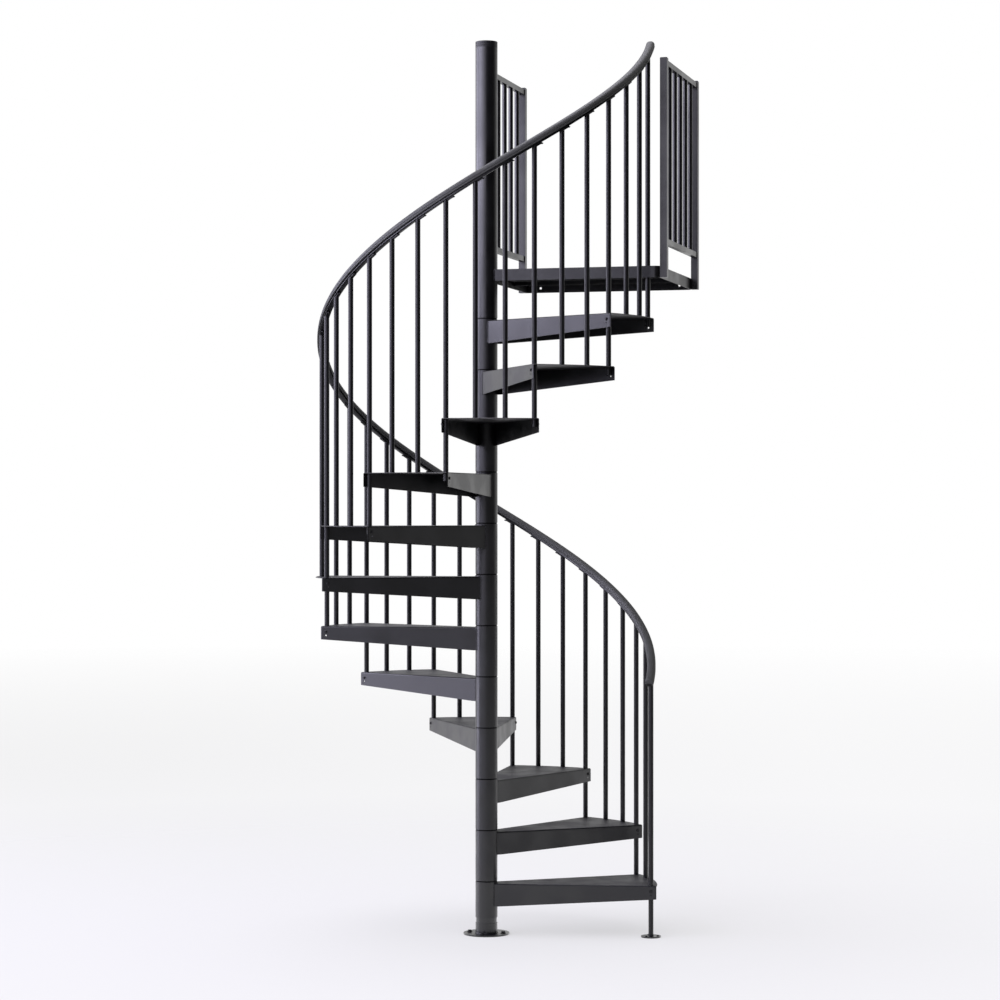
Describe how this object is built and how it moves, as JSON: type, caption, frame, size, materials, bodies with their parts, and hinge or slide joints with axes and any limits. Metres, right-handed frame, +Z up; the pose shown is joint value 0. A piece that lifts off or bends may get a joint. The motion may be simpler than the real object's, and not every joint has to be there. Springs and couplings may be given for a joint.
{
  "type": "spiral staircase",
  "caption": "Steel spiral staircase: wedge treads on a centre pole, slim round balusters, helical handrail and a landing with guard panels.",
  "frame": {"origin": "on the floor under the base plate, on the centre pole's axis", "axes": "+Z up along the centre pole, +X along the landing's front edge, +Y out over the landing to the upper floor"},
  "size_m": [1.5905, 1.5275, 3.9928],
  "materials": {
    "stair_steel": "satin",
    "handrail_grip": "satin"
  },
  "bodies": {
    "root": {"base_plate": "stair_steel", "base_collar": "stair_steel", "spacer_ring": "stair_steel", "centre_pole": "stair_steel", "pole_washers": "stair_steel", "tread_01": "stair_steel", "tread_02": "stair_steel", "tread_03": "stair_steel", "tread_04": "stair_steel", "tread_05": "stair_steel", "tread_06": "stair_steel", "tread_07": "stair_steel", "tread_08": "stair_steel", "tread_09": "stair_steel", "tread_10": "stair_steel", "tread_11": "stair_steel", "tread_12": "stair_steel", "balusters_01": "stair_steel", "balusters_02": "stair_steel", "balusters_03": "stair_steel", "balusters_04": "stair_steel", "balusters_05": "stair_steel", "balusters_06": "stair_steel", "balusters_07": "stair_steel", "balusters_08": "stair_steel", "balusters_09": "stair_steel", "balusters_10": "stair_steel", "balusters_11": "stair_steel", "balusters_12": "stair_steel", "newel_post": "stair_steel", "newel_foot": "stair_steel", "handrail_1": "handrail_grip", "handrail_2": "handrail_grip", "handrail_3": "handrail_grip", "landing_platform": "stair_steel", "upper_sleeve": "stair_steel", "pole_cap": "stair_steel", "left_guard": "stair_steel", "right_guard": "stair_steel"}
  },
  "joints": []
}
